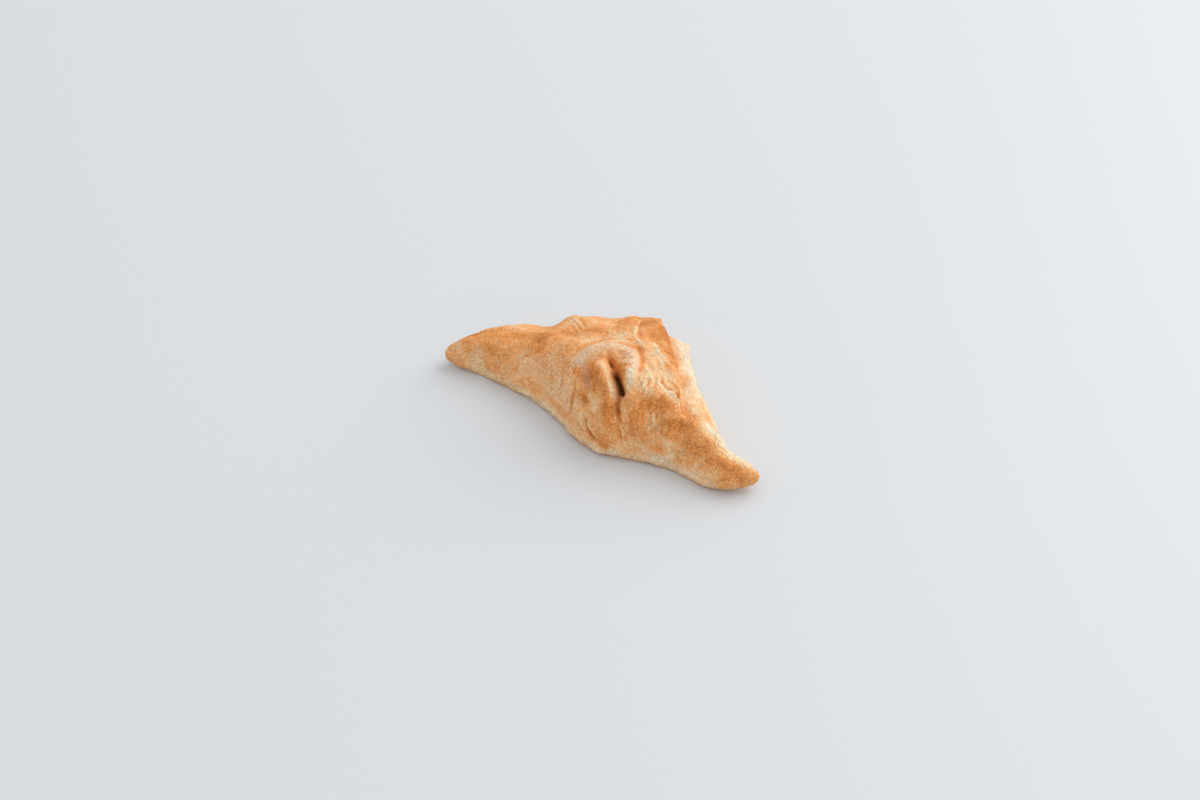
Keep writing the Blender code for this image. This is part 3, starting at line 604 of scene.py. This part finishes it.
def past_layer_edge(x, y):
    """Share of the lower layer at a plan position: 1 beyond the upper layer's edge."""
    places = np.column_stack([x, y])
    distance, offset, run, _ = nearest_on_path(places, np.array(LAYER_EDGE, dtype=float))
    side = np.sign(run[:, 0] * offset[:, 1] - run[:, 1] * offset[:, 0])
    beyond = ramp(-LAYER_EDGE_WIDTH, LAYER_EDGE_WIDTH, distance * side)
    return beyond * ramp(*LAYER_STARTS, x) * (1 - ramp(*LAYER_ENDS, x))


def top_height(x, y, layered=True):
    """Height of the smooth top over a plan position."""
    front = station(1, x)
    back = station(2, x)
    crest = station(3, x)
    height = station(4, x)
    rim = floor_height(x) + RIM_HEIGHT
    behind = y > crest
    t = np.clip(np.where(behind, (y - crest) / (back - crest), (crest - y) / (crest - front)), 0, 1)
    slender = ramp(-SLENDER_LEFT[0], -SLENDER_LEFT[1], -x) + ramp(*SLENDER_RIGHT, x)
    soft = np.sqrt(t**2 + CREST_ROUNDNESS) - np.sqrt(CREST_ROUNDNESS)
    soft = soft / (np.sqrt(1 + CREST_ROUNDNESS) - np.sqrt(CREST_ROUNDNESS))
    steepness = BACK_STEEPNESS + SLENDER_STEEPNESS * slender
    back_slope = (1 - soft**steepness)**(1 - SLENDER_FULLNESS * slender)
    front_slope = (1 - t**2)**FRONT_FULLNESS
    main = rim + (height - rim) * np.where(behind, back_slope, front_slope)
    away = ramp(*SHOULDER_STARTS, t)
    shoulder = np.where(behind, station(5, x), FRONT_SHOULDER) - SHOULDER_SINK * (1 - away)
    blend = SHOULDER_BLEND * away * (1 - SLENDER_BLEND * slender)
    body = 0.5 * (main + shoulder + np.sqrt((main - shoulder)**2 + blend**2))
    if layered:
        steps = np.array(LOWER_LAYER)
        lower = np.minimum(np.interp(x, steps[:, 0], steps[:, 1]), body)
        body = body + (lower - body) * past_layer_edge(x, y)
    return rim + (body - rim) * np.sqrt(np.clip(1 - t**RIM_SHARPNESS, 0, 1))


def section_place(x, side, layered=True):
    """Smooth surface: side runs 0 to 1 over the top from front to back, and 1 to 2 back underneath."""
    on_top = side <= 1
    over = EVEN_SLICES * (2 * side - 1) - (1 - EVEN_SLICES) * np.cos(np.pi * side)
    across = np.where(on_top, over, np.cos(np.pi * (side - 1)))
    front = station(1, x)
    back = station(2, x)
    crest = station(3, x)
    y = crest + np.where(across > 0, back - crest, crest - front) * across
    floor = floor_height(x)
    inset = np.clip((1 - np.abs(across)) / UNDER_ROUNDING, 0, 1)
    under = floor + RIM_HEIGHT * (1 - np.sqrt(1 - (1 - inset)**2))
    z = np.where(on_top, top_height(x, y, layered), under)
    middle_y = 0.5 * (front + back)
    middle_z = floor + END_CENTRE * (station(4, x) - floor)
    cap = end_cap(x)
    return np.column_stack([x, middle_y + (y - middle_y) * cap, middle_z + (z - middle_z) * cap])


def end_cap(x):
    """Share of the full section that is left near the two ends."""
    reach = (2 * x - LEFT_END - RIGHT_END) / (RIGHT_END - LEFT_END)
    return np.sqrt(np.clip(1 - np.abs(reach)**END_BLUNTNESS, 0, 1))


def outward(x, side):
    """Outward direction of the smooth body."""
    ahead = section_place(x + STEP_ALONG, side, False) - section_place(x - STEP_ALONG, side, False)
    round_side = np.clip(side, STEP_AROUND, 2 - STEP_AROUND)
    after = section_place(x, round_side + STEP_AROUND, False)
    before = section_place(x, round_side - STEP_AROUND, False)
    normal = np.cross(ahead, after - before)
    return normal / (np.linalg.norm(normal, axis=1, keepdims=True) + TINY_LENGTH)


def lifted(points):
    """A path on the smooth surface: plan points are laid on the top, and points with a height stay."""
    path = rounded_path(points)
    if path.shape[1] > 2:
        return path
    return np.column_stack([path, top_height(path[:, 0], path[:, 1])])


def close_places(places, path, reach):
    """Places inside the path's box, widened by the reach."""
    inside = (places > path.min(axis=0) - reach) & (places < path.max(axis=0) + reach)
    return np.flatnonzero(inside.all(axis=1))


def fold_profile(places, points, width, faded=True):
    """Share of a fold's height at each place: 1 on its line, falling to 0 beside it."""
    path = lifted(points)
    close = close_places(places, path, FAR_WIDTHS * width)
    profile = np.zeros(len(places))
    distance, _, _, share = nearest_on_path(places[close], path)
    fade = FOLD_END + (1 - FOLD_END) * ramp(0, FOLD_FADE, share) * ramp(0, FOLD_FADE, 1 - share)
    ends = fade if faded else 1
    profile[close] = ends * np.exp(-(distance / width)**2)
    return profile


def fold_relief(places):
    """Height that the folds and grooves add, the painted shade inside named creases, and where fine creases
    and lips lie.
    """
    total = np.zeros(len(places))
    dark = np.zeros(len(places))
    creases = np.zeros(len(places))
    lips = np.zeros(len(places))
    for folds in (FOLDS, FINE_FOLDS):
        for name, (points, width, height) in folds.items():
            profile = fold_profile(places, points, width)
            total += height * profile
            # Painted shade inside the named creases
            dark = np.maximum(dark, PAINTED_CREASE_SHADE.get(name, 0) * profile**2)
            if width < NARROW and height < 0:
                creases = np.maximum(creases, profile)
            elif width < NARROW:
                lips = np.maximum(lips, profile)
    return total, dark, creases, lips


def overlap_relief(places, normals):
    """Height that the laps of dough add, with a sharp lower edge."""
    total = np.zeros(len(places))
    for points, height, reach in OVERLAPS.values():
        path = lifted(points)
        close = close_places(places, path, FAR_WIDTHS * reach)
        distance, offset, run, share = nearest_on_path(places[close], path)
        side = distance * np.sign((np.cross(normals[close], run) * offset).sum(axis=1))
        fade = ramp(0, LAP_FADE, share) * ramp(0, LAP_FADE, 1 - share)
        total[close] += height * fade * ramp(*OVERLAP_EDGE, side) * np.exp(-np.maximum(side, 0) / reach)
    return total


def swell_relief(places):
    """Height that the swells and dents add."""
    total = np.zeros(len(places))
    for x, y, radius, height in (*SWELLS.values(), *FINE_SWELLS.values()):
        middle = np.array([x, y, top_height(np.array([float(x)]), np.array([float(y)]))[0]])
        total += height * np.exp(-((places - middle)**2).sum(axis=1) / radius**2)
    return total


def waves(places, seed, count, length, height):
    """Sum of seeded waves through space."""
    seeded = np.random.default_rng(seed)
    total = np.zeros(len(places))
    for _ in range(count):
        way = seeded.normal(size=3)
        way = way / np.linalg.norm(way)
        turns = places @ way / (length * seeded.uniform(*WAVE_LENGTHS))
        total += np.sin(2 * np.pi * (turns + seeded.uniform()))
    return height * total / np.sqrt(count)


def grain(places, size, shift):
    """Uneven values from -1 to 1 that change over about the given size."""
    return np.array([noise.noise(Vector(place)) for place in places / size + shift])


def dough_grain(places):
    """Lumps and grain."""
    total = np.zeros(len(places))
    for shift, (size, height) in enumerate(LUMPS):
        total += height * grain(places, size, shift)
    total += GRAIN_HEIGHT * grain(places, GRAIN_SIZE, len(LUMPS))
    return total


def fine_cracks(places):
    """Net of hair cracks in patches: 1 on a crack's line."""
    net = grain(places / CRACK_STRETCH, CRACK_SIZE, CRACK_SHIFT)
    size, low, high = CRACK_PATCHES
    return np.exp(-(net / CRACK_WIDTH)**2) * ramp(low, high, grain(places, size, PATCH_SHIFT))


def rim_relief(places):
    """Scallops of the torn dough just above the surface that it rests on."""
    height = places[:, 2] - floor_height(places[:, 0])
    band = ramp(*SCALLOP_BEGINS, height) * (1 - ramp(*SCALLOP_ENDS, height))
    return SCALLOP_HEIGHT * band * grain(places * SCALLOP_FLATNESS, SCALLOP_SIZE, SCALLOP_SHIFT)


def crust_places(x, side):
    """Finished surface, smooth surface, painted crease shade, and shares of fine creases, lips and cracks."""
    places = section_place(x, side)
    normals = outward(x, side)
    relief, dark, creases, lips = fold_relief(places)
    relief += overlap_relief(places, normals)
    relief += swell_relief(places)
    relief += waves(places, *BROAD_WAVES) + waves(places, *SHORT_WAVES)
    cracks = fine_cracks(places)
    relief += dough_grain(places) - CRACK_DEPTH * cracks
    above = ramp(0, RIM_FADE, side) * ramp(0, RIM_FADE, 1 - side) * end_cap(x)
    relief = relief * above + rim_relief(places) * end_cap(x)
    lines = (dark * above, creases * above, lips * above, cracks * above)
    return places + normals * relief[:, None], places, lines


def length_place(share):
    """Position along X for a share of the way from end to end."""
    spread = 2 * share - 1 - ROUND_ENDS * (2 * share - 1 + np.cos(np.pi * share))
    return 0.5 * (LEFT_END + RIGHT_END) + 0.5 * (RIGHT_END - LEFT_END) * spread


def crowded(values, middle, reach, extra):
    """As many values in the same span, drawn closer together round the middle."""
    places = np.linspace(values[0], values[-1], CROWDING_STEPS)
    known = np.interp(places, values, np.arange(len(values)))
    weight = 1 + extra * np.exp(-((places - middle) / reach)**2)
    count = np.concatenate([[0], np.cumsum(np.diff(known) * 0.5 * (weight[1:] + weight[:-1]))])
    return np.interp(np.linspace(0, count[-1], len(values)), count, places)


def tones(places, side, creases, lips, cracks):
    """Browning and flour at each place, with painted shade in fine creases and some painted shade and light
    in named patches.
    """
    rim = ramp(-PALE_RIM[0], -PALE_RIM[1], -places[:, 2])
    # Sunk fine creases: painted shade as added browning and less flour
    browning = PLAIN_BROWNING + RIM_BROWNING * rim + CREASE_SHADE_BROWNING * creases + LIP_BROWNING * lips
    flour = PLAIN_FLOUR + RIM_FLOUR * rim + CREASE_SHADE_FLOUR * creases + LIP_FLOUR * lips
    browning += CRACK_BROWNING * cracks
    for points, width, brown, white in TONES.values():
        profile = fold_profile(places, points, width, faded=False)
        browning += brown * profile
        flour += white * profile
    for shift, (size, brown, white) in enumerate(TONE_NOISE):
        browning += brown * grain(places, size, BROWNING_SHIFT + shift)
        flour += white * grain(places, size, FLOUR_SHIFT + shift)
    under = ramp(*UNDER_BEGINS, side) * (1 - ramp(*UNDER_ENDS, side))
    browning += UNDER_BROWNING * under
    return np.clip(browning, 0, 1), np.clip(flour, 0, 1)


def ring_faces(rings, round_count):
    """Faces of a closed tube of rings, with a fan at each end, and their corners on the map."""
    faces = []
    corners = []
    last = rings * round_count
    for ring in range(rings - 1):
        for k in range(round_count):
            after = (k + 1) % round_count
            a = ring * round_count
            b = a + round_count
            faces.append((a + k, b + k, b + after, a + after))
            corners += [(ring, k), (ring + 1, k), (ring + 1, k + 1), (ring, k + 1)]
    for k in range(round_count):
        after = (k + 1) % round_count
        faces.append((last, k, after))
        corners += [(-1, k + 0.5), (0, k), (0, k + 1)]
        far = (rings - 1) * round_count
        faces.append((last + 1, far + after, far + k))
        corners += [(rings, k + 0.5), (rings - 1, k + 1), (rings - 1, k)]
    return faces, np.array(corners, dtype=float)


def add_values(mesh, name, values):
    """One number for each vertex, which the material reads."""
    layer = mesh.attributes.new(name, "FLOAT", "POINT")
    layer.data.foreach_set("value", values.astype(np.float32))


def crust_mesh():
    """The whole crust as one fine closed mesh."""
    along = crowded(length_place(np.linspace(0, 1, SLICES + 2)), *CROWDED_LENGTH)
    over = crowded(np.linspace(0, 1, OVER + 1), *CROWDED_TOP)[:-1]
    under = np.linspace(1, 2, UNDER, endpoint=False)
    around = np.concatenate([over, under])
    x, side = np.meshgrid(along[1:-1], around, indexing="ij")
    x = np.concatenate([x.ravel(), along[[0, -1]]])
    side = np.concatenate([side.ravel(), (END_SIDE, END_SIDE)])
    shaped, smooth, (dark, creases, lips, cracks) = crust_places(x, side)
    browning, flour = tones(smooth, side, creases, lips, cracks)
    faces, corners = ring_faces(SLICES, len(around))
    mesh = bpy.data.meshes.new("baked_crust")
    mesh.from_pydata(((shaped - (CENTRE_X, CENTRE_Y, 0)) * MM).tolist(), [], faces)
    add_values(mesh, "browning", browning)
    add_values(mesh, "flour", flour)
    # The dark values are the painted shade inside creases, the vent hole and pits
    add_values(mesh, "dark", np.clip(dark, 0, 1))
    flat_map = mesh.uv_layers.new(name="OFBake")
    places = (corners + (1, 0)) / (SLICES + 1, len(around))
    flat_map.data.foreach_set("uv", places.ravel())
    mesh.shade_smooth()
    return mesh


def node(tree, kind, **values):
    """A shader node with its settings, and its inputs by name."""
    made = tree.nodes.new(kind)
    for key, value in values.items():
        if key in made.inputs:
            made.inputs[key].default_value = value
        else:
            setattr(made, key, value)
    return made


def calculation(tree, operation, *values):
    """One step of arithmetic on sockets or numbers."""
    made = tree.nodes.new("ShaderNodeMath")
    made.operation = operation
    for socket, value in zip(made.inputs, values):
        if isinstance(value, (int, float)):
            socket.default_value = value
        else:
            tree.links.new(value, socket)
    return made.outputs[0]


def noise_value(tree, place, size, detail=NOISE_DETAIL):
    """Noise of about the given size in millimetres."""
    made = node(tree, "ShaderNodeTexNoise", Scale=1 / (size * MM), Detail=detail, Roughness=NOISE_ROUGHNESS)
    tree.links.new(place, made.inputs["Vector"])
    return made.outputs["Fac"]


def centred(tree, value, share):
    """A noise value moved to lie about zero, and scaled."""
    return calculation(tree, "MULTIPLY", calculation(tree, "SUBTRACT", value, 0.5), share)


def colour_mix(tree, factor, first, second):
    """The first colour going over to the second by a factor."""
    made = tree.nodes.new("ShaderNodeMixRGB")
    tree.links.new(factor, made.inputs["Fac"])
    tree.links.new(first, made.inputs["Color1"])
    made.inputs["Color2"].default_value = (*second, 1)
    return made.outputs["Color"]


def shaded(tree, colour, value):
    """A colour made lighter or darker by a value."""
    made = node(tree, "ShaderNodeMixRGB", blend_type="MULTIPLY", Fac=1)
    tree.links.new(colour, made.inputs["Color1"])
    tree.links.new(value, made.inputs["Color2"])
    return made.outputs["Color"]


def attribute(tree, name):
    """A number that the mesh holds for each vertex."""
    made = node(tree, "ShaderNodeAttribute", attribute_type="GEOMETRY", attribute_name=name)
    return made.outputs["Fac"]


def spread(tree, value, low, high, to_low, to_high):
    """A value's range turned into another range."""
    made = node(tree, "ShaderNodeMapRange", interpolation_type="SMOOTHSTEP")
    tree.links.new(value, made.inputs["Value"])
    for key, number in (("From Min", low), ("From Max", high), ("To Min", to_low), ("To Max", to_high)):
        made.inputs[key].default_value = number
    return made.outputs["Result"]


def skin_wrinkles(tree, place):
    """Fine raised wrinkles of the dry skin, in patches: 1 on a wrinkle's line."""
    drawn_out = node(tree, "ShaderNodeMapping", Scale=WRINKLE_STRETCH, Rotation=WRINKLE_TURN)
    tree.links.new(place, drawn_out.inputs["Vector"])
    level = noise_value(tree, drawn_out.outputs["Vector"], WRINKLE_SIZE, LOW_DETAIL)
    off_line = calculation(tree, "ABSOLUTE", centred(tree, level, 1.0))
    lines = spread(tree, off_line, 0, WRINKLE_WIDTH, 1, 0)
    patches = spread(tree, noise_value(tree, place, WRINKLE_PATCHES, LOW_DETAIL), *WRINKLE_EDGES, 0, 1)
    return calculation(tree, "MULTIPLY", lines, patches)


def crust_colour(tree, blotch, speck, fine, wrinkles):
    """Colour from the browning, the flour and the wrinkles, with painted shade mixed in at the named creases.
    """
    toasted = calculation(tree, "ADD", attribute(tree, "browning"), centred(tree, blotch, BLOTCH_SHARE))
    paler = calculation(tree, "MULTIPLY", wrinkles, WRINKLE_BROWNING)
    toasted = calculation(tree, "ADD", toasted, paler)
    specks = spread(tree, speck, *SPECK_EDGES, SPECK_SHARE, -SPECK_SHARE)
    toasted = calculation(tree, "ADD", toasted, specks)
    colours = tree.nodes.new("ShaderNodeValToRGB")
    stops = colours.color_ramp.elements
    for k, (position, colour) in enumerate(CRUST_COLOURS):
        stop = stops[k] if k < 2 else stops.new(position)
        stop.position = position
        stop.color = (*colour, 1)
    tree.links.new(toasted, colours.inputs["Fac"])
    dusted = calculation(tree, "ADD", attribute(tree, "flour"), centred(tree, speck, DUSTING_SHARE))
    floury = spread(tree, dusted, *FLOUR_EDGE, 0, FLOUR_MOST)
    dusty = colour_mix(tree, floury, colours.outputs["Color"], FLOUR_COLOUR)
    dusty = shaded(tree, dusty, spread(tree, speck, *SPECK_EDGES, *SPECK_SHADE))
    dusty = shaded(tree, dusty, spread(tree, fine, *FINE_EDGES, *FINE_SHADE))
    # Painted shade: the crease colour mixed in where the dark values lie
    return colour_mix(tree, attribute(tree, "dark"), dusty, PAINTED_SHADE_COLOUR)


def crust_material():
    """Baked dough: uneven browning, flour, small blisters and a dull gloss, with painted shade in creases."""
    material = bpy.data.materials.new("baked_crust")
    material.use_nodes = True
    tree = material.node_tree
    shader = tree.nodes["Principled BSDF"]
    place = tree.nodes.new("ShaderNodeTexCoord").outputs["Object"]
    blotch = noise_value(tree, place, BLOTCH_SIZE)
    speck = noise_value(tree, place, SPECK_SIZE)
    fine = noise_value(tree, place, FINE_SIZE, LOW_DETAIL)
    wrinkles = skin_wrinkles(tree, place)
    tree.links.new(crust_colour(tree, blotch, speck, fine, wrinkles), shader.inputs["Base Color"])
    tree.links.new(spread(tree, speck, *ROUGHNESS_LEVELS, *ROUGHNESS_RANGE), shader.inputs["Roughness"])
    bump = node(tree, "ShaderNodeBump", Strength=BUMP_STRENGTH, Distance=BUMP_DISTANCE)
    relief = calculation(tree, "ADD", speck, calculation(tree, "MULTIPLY", fine, FINE_BUMP))
    relief = calculation(tree, "ADD", relief, calculation(tree, "MULTIPLY", wrinkles, WRINKLE_HEIGHT))
    tree.links.new(relief, bump.inputs["Height"])
    tree.links.new(bump.outputs["Normal"], shader.inputs["Normal"])
    shader.inputs["Specular IOR Level"].default_value = SPECULAR
    shader.inputs["Subsurface Weight"].default_value = SUBSURFACE
    shader.inputs["Subsurface Scale"].default_value = SUBSURFACE_SCALE
    return material


def add_crust():
    """The finished crust, which stands for the part's plain one."""
    mesh = crust_mesh()
    mesh.materials.append(crust_material())
    crust = bpy.data.objects.new("baked_crust", mesh)
    bpy.context.scene.collection.objects.link(crust)
    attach(crust, "root")
    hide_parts("patty")


def add_floor():
    """Plain pale floor."""
    bpy.ops.mesh.primitive_plane_add(size=FLOOR_SIZE)
    floor = bpy.context.object
    floor.name = "floor"
    material = bpy.data.materials.new("floor")
    material.use_nodes = True
    shader = material.node_tree.nodes["Principled BSDF"]
    shader.inputs["Base Color"].default_value = FLOOR_COLOUR
    shader.inputs["Roughness"].default_value = FLOOR_ROUGHNESS
    floor.data.materials.append(material)


def direction(azimuth, elevation):
    """Direction from the object towards a place around it."""
    a = np.radians(azimuth)
    e = np.radians(elevation)
    return Vector((np.sin(a) * np.cos(e), -np.cos(a) * np.cos(e), np.sin(e)))


def add_lights():
    """A large soft lamp behind and to the right, and an even pale sky."""
    lamp = bpy.data.lights.new("key", "AREA")
    lamp.size = KEY_SIZE
    lamp.energy = KEY_POWER
    lamp.color = KEY_COLOUR
    key = bpy.data.objects.new("key", lamp)
    bpy.context.scene.collection.objects.link(key)
    towards = direction(KEY_AZIMUTH, KEY_ELEVATION)
    key.location = towards * KEY_DISTANCE
    key.rotation_euler = towards.to_track_quat("Z", "Y").to_euler()
    world = bpy.data.worlds.new("sky")
    bpy.context.scene.world = world
    world.use_nodes = True
    sky = world.node_tree.nodes["Background"]
    sky.inputs["Color"].default_value = WORLD_COLOUR
    sky.inputs["Strength"].default_value = WORLD_STRENGTH


def add_camera():
    """Camera at the photograph's place."""
    data = bpy.data.cameras.new("camera")
    data.lens = LENS
    camera = bpy.data.objects.new("camera", data)
    bpy.context.scene.collection.objects.link(camera)
    back = direction(CAMERA_AZIMUTH, CAMERA_ELEVATION)
    turn = np.radians(CAMERA_AZIMUTH)
    right = Vector((np.cos(turn), np.sin(turn), 0))
    frame_axes = Matrix((right, back.cross(right), back)).transposed().to_4x4()
    camera.matrix_world = Matrix.Translation(Vector(CAMERA_PLACE)) @ frame_axes
    bpy.context.scene.camera = camera


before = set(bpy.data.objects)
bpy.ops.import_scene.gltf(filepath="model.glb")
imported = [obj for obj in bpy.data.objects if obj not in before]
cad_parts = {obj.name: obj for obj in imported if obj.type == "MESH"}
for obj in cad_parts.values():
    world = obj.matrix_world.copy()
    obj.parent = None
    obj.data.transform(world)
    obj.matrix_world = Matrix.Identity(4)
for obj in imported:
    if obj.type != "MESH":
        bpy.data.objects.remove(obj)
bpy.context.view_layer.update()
add_crust()
add_floor()
add_lights()
add_camera()
bpy.context.scene.view_settings.view_transform = "Standard"
